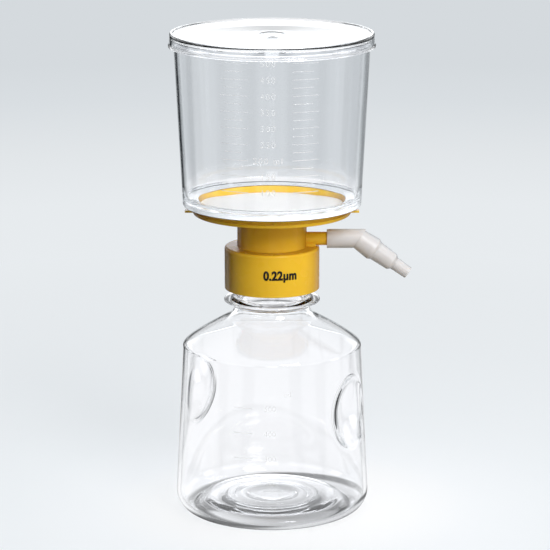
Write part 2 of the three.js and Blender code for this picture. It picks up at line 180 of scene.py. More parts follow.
def settle(piece, move=AXIS, turn=(0, 0, 0)):
    """Turns and moves a piece to its place and puts that place into its mesh."""
    only(piece)
    piece.rotation_euler = turn
    piece.location = move
    bpy.ops.object.transform_apply(location=True, rotation=True, scale=True)
    return piece


def smooth(piece, degrees=32):
    only(piece)
    bpy.ops.object.shade_smooth_by_angle(angle=math.radians(degrees))
    return piece


def combine(piece, *others, operation="UNION"):
    """Joins, cuts or trims a piece with others, which are used up."""
    for other in others:
        only(piece)
        cut = piece.modifiers.new("combine", "BOOLEAN")
        cut.operation, cut.solver, cut.object = operation, "EXACT", other
        bpy.ops.object.modifier_apply(modifier=cut.name)
        bpy.data.objects.remove(other)
    return piece


def join(piece, *others):
    deselect()
    for other in others:
        other.select_set(True)
    piece.select_set(True)
    bpy.context.view_layer.objects.active = piece
    bpy.ops.object.join()
    return piece


def finished(piece, material, body, slot, *stands_for):
    """Gives a piece its material and body, and hides the plain solids it stands for. The slot is
    not used.
    """
    piece.data.materials.clear()
    piece.data.materials.append(material)
    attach(piece, body)
    if stands_for:
        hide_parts(*stands_for)
    return piece


# ------------------------------------------------------------------ materials

def linear(hex_colour):
    """An sRGB hex colour as linear RGBA."""
    parts = [int(hex_colour[i:i + 2], 16) / 255 for i in (1, 3, 5)]
    return [c / 12.92 if c <= 0.04045 else ((c + 0.055) / 1.055) ** 2.4 for c in parts] + [1]


def add(tree, kind, inputs=None, **settings):
    """Adds a node with its settings. Inputs are values, or another node's output to link from."""
    made = tree.nodes.new(kind)
    for name, value in settings.items():
        setattr(made, name, value)
    for socket, value in (inputs or {}).items():
        if isinstance(value, bpy.types.NodeSocket):
            tree.links.new(value, made.inputs[socket])
        else:
            made.inputs[socket].default_value = value
    return made


def blank(name):
    material = bpy.data.materials.new(name)
    material.use_nodes = True
    material.node_tree.nodes.clear()
    return material, material.node_tree


def clear_polystyrene(name, edge_on_shade_colour):
    """Moulded crystal polystyrene: glass-clear, faint flow waves, and painted shade where the
    surface is seen edge-on, which draws its outlines.
    """
    material, tree = blank(name)
    place = add(tree, "ShaderNodeTexCoord").outputs["Object"]
    wave = add(tree, "ShaderNodeTexNoise", {"Vector": place, "Scale": 45, "Detail": 1})
    bump = add(tree, "ShaderNodeBump", {
        "Height": wave.outputs[0], "Strength": 0.05, "Distance": 0.001})
    # painted shade: edge-on faces take the darker edge-on colour in place of the near-white
    turned_away = add(tree, "ShaderNodeLayerWeight", {"Blend": 0.5})
    edge_on = add(tree, "ShaderNodeMapRange", {0: turned_away.outputs["Facing"], 1: 0.78, 2: 0.92},
                  interpolation_type="SMOOTHSTEP")
    colour = add(tree, "ShaderNodeMix", {
        0: edge_on.outputs[0], 6: linear("#FDFDFE"), 7: linear(edge_on_shade_colour)}, data_type="RGBA")
    plastic = add(tree, "ShaderNodeBsdfPrincipled", {
        "Base Color": colour.outputs[2], "Roughness": 0, "IOR": 1.59,
        "Transmission Weight": 1, "Normal": bump.outputs[0]})
    shade = add(tree, "ShaderNodeBsdfTransparent", {"Color": linear("#E7EAEC")})
    light = add(tree, "ShaderNodeLightPath")
    either = add(tree, "ShaderNodeMixShader", {
        0: light.outputs["Is Shadow Ray"], 1: plastic.outputs[0], 2: shade.outputs[0]})
    tint = add(tree, "ShaderNodeVolumeAbsorption", {"Color": linear("#C9D2D8"), "Density": 8})
    add(tree, "ShaderNodeOutputMaterial", {"Surface": either.outputs[0], "Volume": tint.outputs[0]})
    return material


def yellow_polypropylene():
    """Moulded yellow polypropylene: waxy, a little light passes through, fine mould grain, and
    painted shade that darkens it to brown where it turns edge-on.
    """
    material, tree = blank("yellow_polypropylene")
    place = add(tree, "ShaderNodeTexCoord").outputs["Object"]
    cloud = add(tree, "ShaderNodeTexNoise", {"Vector": place, "Scale": 70, "Detail": 2})
    colour = add(tree, "ShaderNodeMix", {
        0: cloud.outputs[0], 6: linear("#F1C437"), 7: linear("#E9B82C")}, data_type="RGBA")
    grain = add(tree, "ShaderNodeTexNoise", {"Vector": place, "Scale": 2600, "Detail": 1})
    # painted shade: the colour goes to dark brown towards edge-on faces
    turned_away = add(tree, "ShaderNodeLayerWeight", {"Blend": 0.5})
    painted_edge_shade = add(tree, "ShaderNodeMapRange", {
        0: turned_away.outputs["Facing"], 1: 0.3, 2: 0.95, 3: 0, 4: 0.75})
    colour = add(tree, "ShaderNodeMix", {
        0: painted_edge_shade.outputs[0], 6: colour.outputs[2], 7: linear("#9C6412")}, data_type="RGBA")
    gloss = add(tree, "ShaderNodeMapRange", {0: cloud.outputs[0], 3: 0.22, 4: 0.32})
    bump = add(tree, "ShaderNodeBump", {
        "Height": grain.outputs[0], "Strength": 0.12, "Distance": 0.0001})
    plastic = add(tree, "ShaderNodeBsdfPrincipled", {
        "Base Color": colour.outputs[2], "Roughness": gloss.outputs[0], "IOR": 1.49,
        "Specular IOR Level": 0.15, "Subsurface Weight": 0.3, "Subsurface Radius": (1.0, 0.75, 0.2),
        "Subsurface Scale": 0.004, "Normal": bump.outputs[0]})
    add(tree, "ShaderNodeOutputMaterial", {"Surface": plastic.outputs[0]})
    return material


def white_polyethylene():
    """Moulded natural polyethylene: milky, soft edges, dull gloss, and painted shade that darkens
    it to grey where it turns edge-on.
    """
    material, tree = blank("white_polyethylene")
    place = add(tree, "ShaderNodeTexCoord").outputs["Object"]
    cloud = add(tree, "ShaderNodeTexNoise", {"Vector": place, "Scale": 120, "Detail": 2})
    colour = add(tree, "ShaderNodeMix", {
        0: cloud.outputs[0], 6: linear("#D4D2D2"), 7: linear("#CAC8C8")}, data_type="RGBA")
    grain = add(tree, "ShaderNodeTexNoise", {"Vector": place, "Scale": 3000, "Detail": 1})
    # painted shade: the colour goes to grey towards edge-on faces
    turned_away = add(tree, "ShaderNodeLayerWeight", {"Blend": 0.5})
    painted_edge_shade = add(tree, "ShaderNodeMapRange", {
        0: turned_away.outputs["Facing"], 1: 0.4, 2: 0.95, 3: 0, 4: 0.85})
    colour = add(tree, "ShaderNodeMix", {
        0: painted_edge_shade.outputs[0], 6: colour.outputs[2], 7: linear("#70777D")}, data_type="RGBA")
    gloss = add(tree, "ShaderNodeMapRange", {0: cloud.outputs[0], 3: 0.3, 4: 0.42})
    bump = add(tree, "ShaderNodeBump", {
        "Height": grain.outputs[0], "Strength": 0.12, "Distance": 0.0001})
    plastic = add(tree, "ShaderNodeBsdfPrincipled", {
        "Base Color": colour.outputs[2], "Roughness": gloss.outputs[0], "IOR": 1.51,
        "Subsurface Weight": 0.6, "Subsurface Radius": (1.0, 0.9, 0.8),
        "Subsurface Scale": 0.003, "Normal": bump.outputs[0]})
    add(tree, "ShaderNodeOutputMaterial", {"Surface": plastic.outputs[0]})
    return material


def frosted_polystyrene(name, low, high):
    """The raised graduation marks: the wall's own plastic with an etched, light-catching face."""
    material, tree = blank(name)
    place = add(tree, "ShaderNodeTexCoord").outputs["Object"]
    grain = add(tree, "ShaderNodeTexNoise", {"Vector": place, "Scale": 2200, "Detail": 2})
    bump = add(tree, "ShaderNodeBump", {
        "Height": grain.outputs[0], "Strength": 0.5, "Distance": 0.0001})
    plastic = add(tree, "ShaderNodeBsdfPrincipled", {
        "Base Color": linear("#FFFFFF"), "Roughness": 0.45, "IOR": 1.59,
        "Transmission Weight": 0.3, "Normal": bump.outputs[0]})
    clear = add(tree, "ShaderNodeBsdfTransparent", {"Color": linear("#FFFFFF")})
    height = add(tree, "ShaderNodeSeparateXYZ", {0: place}).outputs["Z"]
    cover = add(tree, "ShaderNodeMapRange", {0: height, 1: 0.188, 2: 0.202, 3: low, 4: high})
    mixed = add(tree, "ShaderNodeMixShader", {
        0: cover.outputs[0], 1: clear.outputs[0], 2: plastic.outputs[0]})
    add(tree, "ShaderNodeOutputMaterial", {"Surface": mixed.outputs[0]})
    return material


def welded_polystyrene():
    """The funnel's underside where it is welded to the plate: drawn matt white, with painted shade
    in a thin dark line round its outer edge.
    """
    material, tree = blank("welded_polystyrene")
    place = add(tree, "ShaderNodeTexCoord").outputs["Object"]
    mottle = add(tree, "ShaderNodeTexNoise", {"Vector": place, "Scale": 260, "Detail": 3})
    colour = add(tree, "ShaderNodeMix", {
        0: mottle.outputs[0], 6: linear("#FBFBFB"), 7: linear("#EFF0F1")}, data_type="RGBA")
    centre = add(tree, "ShaderNodeVectorMath", {0: place, 1: AXIS}, operation="SUBTRACT")
    flat = add(tree, "ShaderNodeVectorMath", {
        0: centre.outputs[0], 1: (1, 1, 0)}, operation="MULTIPLY")
    reach = add(tree, "ShaderNodeVectorMath", {0: flat.outputs[0]}, operation="LENGTH")
    # painted shade: faces beyond about 44.8 mm from the axis turn dark grey, drawing the heel's
    # bottom outline
    edge = add(tree, "ShaderNodeMapRange", {0: reach.outputs["Value"], 1: 0.0448, 2: 0.0453})
    colour = add(tree, "ShaderNodeMix", {
        0: edge.outputs[0], 6: colour.outputs[2], 7: linear("#2E3439")}, data_type="RGBA")
    bump = add(tree, "ShaderNodeBump", {
        "Height": mottle.outputs[0], "Strength": 0.2, "Distance": 0.0001})
    seam = add(tree, "ShaderNodeBsdfPrincipled", {
        "Base Color": colour.outputs[2], "Roughness": 0.6, "IOR": 1.59, "Normal": bump.outputs[0]})
    add(tree, "ShaderNodeOutputMaterial", {"Surface": seam.outputs[0]})
    return material


def black_ink():
    """Pad-printed ink: a thin black film, slightly uneven in gloss."""
    material, tree = blank("black_ink")
    place = add(tree, "ShaderNodeTexCoord").outputs["Object"]
    patch = add(tree, "ShaderNodeTexNoise", {"Vector": place, "Scale": 900, "Detail": 2})
    colour = add(tree, "ShaderNodeMix", {
        0: patch.outputs[0], 6: linear("#080706"), 7: linear("#15110D")}, data_type="RGBA")
    gloss = add(tree, "ShaderNodeMapRange", {0: patch.outputs[0], 3: 0.35, 4: 0.6})
    film = add(tree, "ShaderNodeBsdfPrincipled", {
        "Base Color": colour.outputs[2], "Roughness": gloss.outputs[0], "Specular IOR Level": 0.2})
    add(tree, "ShaderNodeOutputMaterial", {"Surface": film.outputs[0]})
    return material


def microporous_membrane():
    """Cast membrane: bright matt white with pores far too fine to see, drawn 0.3 mm across."""
    material, tree = blank("microporous_membrane")
    place = add(tree, "ShaderNodeTexCoord").outputs["Object"]
    pores = add(tree, "ShaderNodeTexVoronoi", {"Vector": place, "Scale": 3300})
    mottle = add(tree, "ShaderNodeTexNoise", {"Vector": place, "Scale": 160, "Detail": 3})
    colour = add(tree, "ShaderNodeMix", {
        0: mottle.outputs[0], 6: linear("#E9E7E5"), 7: linear("#E0DEDB")}, data_type="RGBA")
    bump = add(tree, "ShaderNodeBump", {
        "Height": pores.outputs[0], "Strength": 0.25, "Distance": 0.0001})
    film = add(tree, "ShaderNodeBsdfPrincipled", {
        "Base Color": colour.outputs[2], "Roughness": 0.85, "Normal": bump.outputs[0]})
    add(tree, "ShaderNodeOutputMaterial", {"Surface": film.outputs[0]})
    return material


def moulded_silicone():
    """Moulded silicone rubber: soft, faintly grey and translucent, with a dusty matt skin."""
    material, tree = blank("moulded_silicone")
    place = add(tree, "ShaderNodeTexCoord").outputs["Object"]
    dust = add(tree, "ShaderNodeTexNoise", {"Vector": place, "Scale": 500, "Detail": 3})
    colour = add(tree, "ShaderNodeMix", {
        0: dust.outputs[0], 6: linear("#E6E3DC"), 7: linear("#D9D5CC")}, data_type="RGBA")
    gloss = add(tree, "ShaderNodeMapRange", {0: dust.outputs[0], 3: 0.5, 4: 0.7})
    rubber = add(tree, "ShaderNodeBsdfPrincipled", {
        "Base Color": colour.outputs[2], "Roughness": gloss.outputs[0], "IOR": 1.41,
        "Subsurface Weight": 0.3, "Subsurface Scale": 0.002})
    add(tree, "ShaderNodeOutputMaterial", {"Surface": rubber.outputs[0]})
    return material


def cotton_wadding():
    """Packed cotton: white fibres about 0.02 mm thick, drawn 0.2 mm so that they show."""
    material, tree = blank("cotton_wadding")
    place = add(tree, "ShaderNodeTexCoord").outputs["Object"]
    fibres = add(tree, "ShaderNodeTexWave", {
        "Vector": place, "Scale": 700, "Distortion": 14, "Detail": 3, "Detail Scale": 2})
    colour = add(tree, "ShaderNodeMix", {
        0: fibres.outputs[0], 6: linear("#E9E6DF"), 7: linear("#FAF8F3")}, data_type="RGBA")
    bump = add(tree, "ShaderNodeBump", {
        "Height": fibres.outputs[1], "Strength": 0.8, "Distance": 0.0002})
    wad = add(tree, "ShaderNodeBsdfPrincipled", {
        "Base Color": colour.outputs[2], "Roughness": 0.95, "Sheen Weight": 0.3,
        "Normal": bump.outputs[0]})
    add(tree, "ShaderNodeOutputMaterial", {"Surface": wad.outputs[0]})
    return material


# ------------------------------------------------------------------ bottle

def wall_radius(z):
    return HEEL_R + (SHOULDER_R - HEEL_R) * (z - HEEL_Z) / (SHOULDER_Z - HEEL_Z)


def bottle_outline():
    outside = [(0, 4.9), (6, 4.9), (11.6, 4.9), (12.4, 5.05), (13, 5.4), (13.6, 5.55),
               (18.4, 5.6), (19.1, 5.4), (19.5, 5.0), (20, 4.75), (23, 4.72), (23.6, 4.9),
               (24, 5.3), (24.6, 5.5), (31.5, 5.05)]
    outside += curve((31.5, 5.05), (37.7, 4.9), (39.2, 0.14), steps=12)
    outside += [(39.6, 0.02), (40.1, 0), (40.8, 0), (41.4, 0.05)]
    outside += curve((41.4, 0.05), (46.4, 0.5), (HEEL_R, HEEL_Z), (HEEL_R, 4.9), steps=14)
    outside += line((HEEL_R, HEEL_Z), (wall_radius(34), 34), 8)
    outside += line((wall_radius(34), 34), (SHOULDER_R, SHOULDER_Z), 60)
    outside += curve(
        (SHOULDER_R, SHOULDER_Z), (46.1, 90.27), (SLOPE_TOP_R, SLOPE_TOP_Z), (30.1, 99.7), steps=28)
    outside += curve((SLOPE_TOP_R, SLOPE_TOP_Z), (20.6, 104.5), (NECK_R, 107.4), steps=7)
    outside += [(NECK_R, 108.6)]
    outside += curve((NECK_R, 108.6), (NECK_R + 0.1, 109.2), (NECK_R + 0.9, 109.6), steps=3)
    edge = BEAD_R - BEAD_EDGE
    outside += [(edge + BEAD_EDGE * math.sin(a * math.pi / 18),
                 BEAD_Z - BEAD_EDGE * math.cos(a * math.pi / 18)) for a in range(0, 19, 2)]
    outside += [(NECK_R + 0.9, 113.7)]
    outside += curve((NECK_R + 0.9, 113.7), (NECK_R + 0.1, 114), (NECK_R, 114.6), steps=3)
    outside += [(NECK_R, 124), (NECK_R, LIP_Z - 0.6)]
    outside += curve((NECK_R, LIP_Z - 0.6), (NECK_R, LIP_Z), (NECK_R - 0.6, LIP_Z), steps=3)

    inside = [(NECK_BORE + 0.4, LIP_Z), (NECK_BORE, LIP_Z - 0.4), (NECK_BORE, 120),
              (NECK_BORE, 108.2)]
    inside += curve((NECK_BORE, 108.2), (NECK_BORE + 0.2, 104.1), (23.2, 101), steps=8)
    inside += curve((23.2, 101), (29.6, 97.6), (SHOULDER_R - WALL, 87.4), (44.2, 89.2), steps=28)
    inside += line((SHOULDER_R - WALL, 87.4), (wall_radius(34) - WALL, 34), 60)
    inside += line((wall_radius(34) - WALL, 34), (HEEL_R - WALL, HEEL_Z), 8)
    inside += curve((HEEL_R - WALL, HEEL_Z), (HEEL_R - WALL, 5.9), (41, 2), (45.4, 2.4), steps=12)
    inside += curve((41, 2), (39.6, 1.9), (31.5, 7.1), (37.4, 6.9), steps=10)
    inside += [(24.5, 7.4), (18, 7.55), (12, 7.4), (5, 7), (0, 6.9)]
    return outside + inside


def press_grips(shell):
    """Presses the two ball-shaped thumb recesses into the wall, outside and inside."""
    for azimuth in GRIP_AZIMUTHS:
        turn = math.radians(azimuth)
        outwards = Vector((math.cos(turn), math.sin(turn), 0))
        across = Vector((-math.sin(turn), math.cos(turn), 0))
        for vertex in shell.data.vertices:
            place = vertex.co / MM
            high = place.dot(outwards)
            off = math.hypot(place.dot(across), place.z - GRIP_Z)
            inner = math.hypot(place.x, place.y) < wall_radius(place.z) - WALL / 2
            ball, blend = (GRIP_BALL_R + WALL, 2.4) if inner else (GRIP_BALL_R, 1.3)
            if high < 20 or off >= ball:
                continue
            dish = GRIP_BALL_OUT - math.sqrt(ball ** 2 - off ** 2)
            near = max(blend - abs(high - dish), 0) / blend
            pressed = min(high, dish) - near * near * blend / 4
            vertex.co += outwards * (pressed - high) * MM


def thread(name, root, crest, z):
    """A screw thread: a trapezoid drawn beside the axis and screwed up round it."""
    deselect()
    bpy.ops.mesh.primitive_plane_add(size=2 * MM, rotation=(math.pi / 2, 0, 0))
    bar = bpy.context.object
    bpy.ops.object.transform_apply(location=False, rotation=True, scale=True)
    buried = root + math.copysign(0.3, root - crest)
    for vertex in bar.data.vertices:
        at_crest = vertex.co.x > 0
        half = 0.45 if at_crest else 1.0
        out = crest if at_crest else buried
        vertex.co = Vector((out, 0, math.copysign(half, vertex.co.z))) * MM
    wind = bar.modifiers.new("wind", "SCREW")
    wind.angle, wind.screw_offset = 2 * math.pi * THREAD_TURNS, PITCH * THREAD_TURNS * MM
    wind.steps = wind.render_steps = round(SMALL_ROUND * THREAD_TURNS)
    only(bar)
    bpy.ops.object.modifier_apply(modifier=wind.name)
    bpy.ops.object.mode_set(mode="EDIT")
    bpy.ops.mesh.select_all(action="DESELECT")
    bpy.ops.mesh.select_non_manifold(extend=False)
    bpy.ops.mesh.edge_face_add()
    bpy.ops.mesh.select_all(action="SELECT")
    bpy.ops.mesh.normals_make_consistent(inside=False)
    bpy.ops.object.mode_set(mode="OBJECT")
    bar.name = name
    bar.location.z = z * MM
    bpy.ops.object.transform_apply(location=True, rotation=True, scale=True)
    return bar


def make_bottle():
    shell = turned("bottle_shell", bottle_outline(), BOTTLE_ROUND)
    press_grips(shell)
    join(shell, thread("neck_thread", NECK_R, NECK_CREST, NECK_THREAD_Z))
    return smooth(settle(shell))


# ------------------------------------------------------------------ filter head

def block(size, middle):
    deselect()
    bpy.ops.mesh.primitive_cube_add(size=1, location=[m * MM for m in middle])
    made = bpy.context.object
    made.scale = [s * MM for s in size]
    bpy.ops.object.transform_apply(location=True, rotation=True, scale=True)
    return made


def rod(radius, start, end, steps=64):
    """A round bar along +Z with closed ends."""
    return turned("rod", [(0, start), (radius, start), (radius, end), (0, end)], steps)


def level(piece, degrees_down=0, x=0, z=ARM_Z):
    """Lays a piece drawn along +Z along +X, sloping down, from a point on the side arm's line."""
    return settle(piece, Vector((x, 0, z)) * MM, (0, math.radians(90 + degrees_down), 0))


def make_filter_head():
    groove = PLATE_R - GROOVE_DEPTH
    body = turned("filter_head_moulding", rounded([
        (COLLAR_BORE, COLLAR_BOTTOM), (COLLAR_R, COLLAR_BOTTOM), (COLLAR_R, COLLAR_TOP - 1.1),
        (COLLAR_R - 0.35, COLLAR_TOP - 0.35), (COLLAR_R - 1.1, COLLAR_TOP), (STEM_R, COLLAR_TOP),
        (STEM_R, PLATE_BOTTOM), (PLATE_R, PLATE_BOTTOM), (PLATE_R, GROOVE_LOW),
        (groove, GROOVE_LOW), (groove, GROOVE_HIGH), (PLATE_R, GROOVE_HIGH), (PLATE_R, PLATE_TOP),
        (WELL_R, PLATE_TOP), (WELL_R, WELL_Z), (SPOUT_BORE, WELL_Z), (SPOUT_BORE, SPOUT_TIP_Z),
        (SPOUT_TIP_R, SPOUT_TIP_Z), (SPOUT_ROOT_R, PLATE_BOTTOM), (STEM_BORE, PLATE_BOTTOM),
        (STEM_BORE, COLLAR_ROOF), (COLLAR_BORE, COLLAR_ROOF), (COLLAR_BORE, COLLAR_BOTTOM)],
        0.35), 128)
    ribs = [turned("rib", [(r - 0.8, WELL_Z - 0.4), (r + 0.8, WELL_Z - 0.4),
                           (r + 0.5, RIB_TOP), (r - 0.5, RIB_TOP)], SMALL_ROUND, closed=True)
            for r in RIB_RADII]
    ears = [block((6, 4, 1), (side * (EAR_REACH - 3), 0, PLATE_BOTTOM + 0.52)) for side in (-1, 1)]
    arm = level(rod(ARM_R, STEM_R - 1, ARM_END))
    web = block((6, 5.6, 2.6), (19.5, 0, COLLAR_TOP + 0.8))
    nub = rod(NUB_R, 0, 1.2, 24)
    settle(nub, Vector((NUB_RIGHT, 0.6 - PLATE_R, NUB_Z)) * MM, (math.pi / 2, 0, 0))
    combine(body, *ribs, *ears, arm, web, nub)
    combine(body, level(rod(ARM_BORE, STEM_BORE - 2, ARM_END + 1)), operation="DIFFERENCE")
    join(body, thread("collar_thread", COLLAR_BORE, COLLAR_CREST, COLLAR_THREAD_Z))
    return smooth(settle(body))


# ------------------------------------------------------------------ funnel and lid

def funnel_outline():
    """The thick heel hangs round the plate, and a slope over it runs down to the well's edge."""
    heel, inner, slope = FUNNEL_HEEL_R, FUNNEL_HEEL_R - FUNNEL_WALL, FUNNEL_SLOPE_Z
    skirt, foot = FUNNEL_SKIRT_R, FUNNEL_FOOT
    outline = [(WELL_R + 0.2, FUNNEL_BOTTOM), (skirt, FUNNEL_BOTTOM), (skirt, foot + 0.3),
               (skirt + 0.3, foot), (heel - 0.9, foot)]
    outline += curve((heel - 0.9, foot), (heel, foot), (heel, foot + 0.9), steps=6)
    outline += line((heel, foot + 0.9), (FUNNEL_RIM_R, FUNNEL_WALL_HIGH), 12)
    outline += [(50.4, 245.7), (FUNNEL_LIP_R, 246.2), (FUNNEL_LIP_R, 247.8), (50.3, FUNNEL_RIM_Z),
                (48.7, FUNNEL_RIM_Z), (FUNNEL_RIM_R - FUNNEL_WALL, 247.7)]
    outline += line((FUNNEL_RIM_R - FUNNEL_WALL, 247.7), (inner + 0.2, slope + 0.8), 12)
    outline += curve(
        (inner + 0.2, slope + 0.8), (inner + 0.1, slope), (inner - 0.6, slope - 0.5), steps=6)
    outline += [(WELL_R + 1, FUNNEL_BOTTOM + 0.85)]
    outline += curve((WELL_R + 1, FUNNEL_BOTTOM + 0.85), (WELL_R + 0.1, FUNNEL_BOTTOM + 0.6),
                     (WELL_R, FUNNEL_BOTTOM + 0.2), steps=4)
    return outline


def make_funnel():
    return smooth(settle(turned("funnel_shell", funnel_outline(), ROUND, closed=True)))


def whiten_underside(funnel):
    """Whitens the faces that are welded to the plate and the foot that hangs round it."""
    funnel.data.materials.append(welded_polystyrene())
    for face in funnel.data.polygons:
        reach = math.hypot(face.center.x - AXIS.x, face.center.y)
        foot = face.center.z < (FUNNEL_FOOT + 0.4) * MM
        welded = face.center.z < (FUNNEL_BOTTOM + 0.05) * MM and reach < (FUNNEL_HEEL_R - 0.7) * MM
        if foot or welded:
            face.material_index = 1


def lid_outline():
    under = LID_PANEL_Z - 1.2
    return rounded([
        (0, under - 0.5), (7.7, under - 0.5), (8.2, under), (50.4, under), (51, under - 0.6),
        (51, LID_BOTTOM), (LID_BEAD_R, LID_BOTTOM), (LID_BEAD_R, LID_BOTTOM + 0.9),
        (LID_SKIRT_R, LID_BOTTOM + 1.4), (LID_SKIRT_R - 0.1, LID_TOP - 0.7),
        (LID_SKIRT_R - 0.6, LID_TOP), (LID_EDGE_R, LID_TOP), (LID_EDGE_R - 0.5, LID_PANEL_Z),
        (6.9, LID_PANEL_Z), (6.5, LID_PANEL_Z - 0.5), (0, LID_PANEL_Z - 0.5)], 0.3)


def make_lid():
    return smooth(settle(turned("lid_shell", lid_outline(), ROUND)))


# ------------------------------------------------------------------ hose adapter

def make_hose_adapter():
    outline, start = [(0, 0)], 0
    for end, wide, narrow in HOSE_STEPS:
        outline += [(wide, start), (narrow, end)]
        start = end + HOSE_SHOULDER
    outline.append((0, HOSE_STEPS[-1][0]))
    steps = level(turned("hose_adapter_moulding", outline, 64), ELBOW_DEG, ELBOW_X)
    slope = Vector((math.cos(math.radians(ELBOW_DEG)), 0, -math.sin(math.radians(ELBOW_DEG))))
    elbow = Vector((ELBOW_X, 0, ARM_Z)) * MM
    sleeve = level(rod(SLEEVE_R, SLEEVE_START, ELBOW_X + SLEEVE_R))
    only(sleeve)
    bpy.ops.object.mode_set(mode="EDIT")
    bpy.ops.mesh.select_all(action="SELECT")
    bpy.ops.mesh.bisect(
        plane_co=elbow + slope * 0.3 * MM, plane_no=slope, use_fill=True, clear_outer=True)
    bpy.ops.object.mode_set(mode="OBJECT")
    combine(steps, sleeve)
    combine(steps, level(rod(ARM_R + 0.3, SLEEVE_START - 1, ARM_END + 0.3)),
            level(rod(HOSE_BORE, ARM_END - 1, ELBOW_X + 0.8, 48)),
            level(rod(HOSE_BORE, -0.8, HOSE_STEPS[-1][0] + 1, 48), ELBOW_DEG, ELBOW_X),
            operation="DIFFERENCE")
    soften = steps.modifiers.new("soften", "BEVEL")
    soften.width, soften.segments, soften.limit_method = 0.5 * MM, 3, "ANGLE"
    soften.angle_limit = math.radians(25)
    only(steps)
    bpy.ops.object.modifier_apply(modifier=soften.name)
    return smooth(settle(steps), 28)


# ------------------------------------------------------------------ marks

def lettering(text, size, right, up, thicker=0.0, spacing=1.0, width=1.0):
    """Flat lettering standing in the XZ plane, centred on right and with its foot at up."""
    deselect()
    bpy.ops.object.text_add()
    words = bpy.context.object
    words.data.body, words.data.size, words.data.offset = text, size * MM, thicker * MM
    words.data.align_x, words.data.space_character = "CENTER", spacing
    bpy.ops.object.convert(target="MESH")
    words = bpy.context.object
    words.scale.x = width
    return settle(words, Vector((right, 0, up)) * MM, (math.pi / 2, 0, 0))


def tick(left, right, up, thick):
    """A flat bar in the XZ plane, divided so that it can bend round the wall."""
    deselect()
    bpy.ops.mesh.primitive_grid_add(x_subdivisions=12, y_subdivisions=1, size=1)
    bar = bpy.context.object
    bar.scale = ((right - left) * MM, thick * MM, 1)
    return settle(bar, Vector(((left + right) / 2, 0, up)) * MM, (math.pi / 2, 0, 0))


def wrapped(name, flat, radius_at, thickness):
    """Joins flat marks, bends them round the front of a wall and gives them thickness."""
    marks = join(*flat)
    marks.name = marks.data.name = name
    for vertex in marks.data.vertices:
        radius = radius_at(vertex.co.z / MM) * MM
        angle = vertex.co.x / radius - math.pi / 2
        vertex.co = Vector((radius * math.cos(angle), radius * math.sin(angle), vertex.co.z))
    only(marks)
    raised = marks.modifiers.new("raised", "SOLIDIFY")
    raised.thickness, raised.offset = thickness * MM, 1
    bpy.ops.object.modifier_apply(modifier=raised.name)
    bpy.ops.object.mode_set(mode="EDIT")
    bpy.ops.mesh.select_all(action="SELECT")
    bpy.ops.mesh.normals_make_consistent(inside=False)
    bpy.ops.object.mode_set(mode="OBJECT")
    return settle(marks)


def funnel_radius(z):
    rise = (z - FUNNEL_WALL_LOW) / (FUNNEL_WALL_HIGH - FUNNEL_WALL_LOW)
    return FUNNEL_HEEL_R + (FUNNEL_RIM_R - FUNNEL_HEEL_R) * rise


def make_funnel_marks():
    flat = []
    for volume in range(100, 525, 25):
        z = FUNNEL_FIRST_MARK + (volume - 100) * FUNNEL_MARK_STEP / 50
        major = volume % 50 == 0
        flat.append(tick(-26.4 if major else -24.3, -12 if major else -15, z, 0.3))
        flat.append(tick(10.3, 24.2 if major else 21, z, 0.3))
        if major:
            flat.append(lettering(str(volume) + (" ml" if volume == 200 else ""), 4.4, -2, z - 1.5,
                                  spacing=1.25))
    return wrapped("funnel_graduations", flat, funnel_radius, 0.2)


def make_bottle_marks():
    flat = []
    for volume, z in BOTTLE_MARKS:
        flat.append(tick(-20, -10, z, 0.4))
        flat.append(lettering(str(volume), 4.0, -1, z - 1.4))
    flat.append(lettering("ml", 3.6, 8, 72))
    return wrapped("bottle_graduations", flat, wall_radius, 0.2)


def make_collar_print():
    flat = [lettering("0.22µm", 6.4, 4.4, 127.5, thicker=0.3, spacing=1.03, width=0.88)]
    return wrapped("collar_print", flat, lambda z: COLLAR_R + 0.02, 0.04)


# ------------------------------------------------------------------ the unit

put_camera()

# the second colours are the painted edge-on shade of the clear plastic
clear_wall = clear_polystyrene("clear_polystyrene", "#2B3238")
clear_lid = clear_polystyrene("clear_polystyrene_lid", "#D8DEE2")
yellow = yellow_polypropylene()
milky = white_polyethylene()
frosted = frosted_polystyrene("frosted_polystyrene", 0.6, 0.25)
faint = frosted_polystyrene("polished_polystyrene_marks", 0.2, 0.2)

finished(make_bottle(), clear_wall, "bottle", "clear_polystyrene", "bottle")
finished(make_bottle_marks(), faint, "bottle", "clear_polystyrene")
finished(make_filter_head(), yellow, "head", "yellow_polypropylene", "filter_head")
finished(make_collar_print(), black_ink(), "head", "yellow_polypropylene")
funnel = finished(make_funnel(), clear_wall, "head", "clear_polystyrene", "funnel")
whiten_underside(funnel)
finished(make_funnel_marks(), frosted, "head", "clear_polystyrene")
finished(make_lid(), clear_lid, "lid", "clear_polystyrene", "lid")
finished(make_hose_adapter(), milky, "hose_adapter", "white_polyethylene", "hose_adapter")

for node, material in (("membrane", microporous_membrane()), ("neck_gasket", moulded_silicone()),
                       ("air_filter_plug", cotton_wadding())):
    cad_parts[node].data.materials.clear()
    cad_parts[node].data.materials.append(material)


# ------------------------------------------------------------------ floor, world and lamps

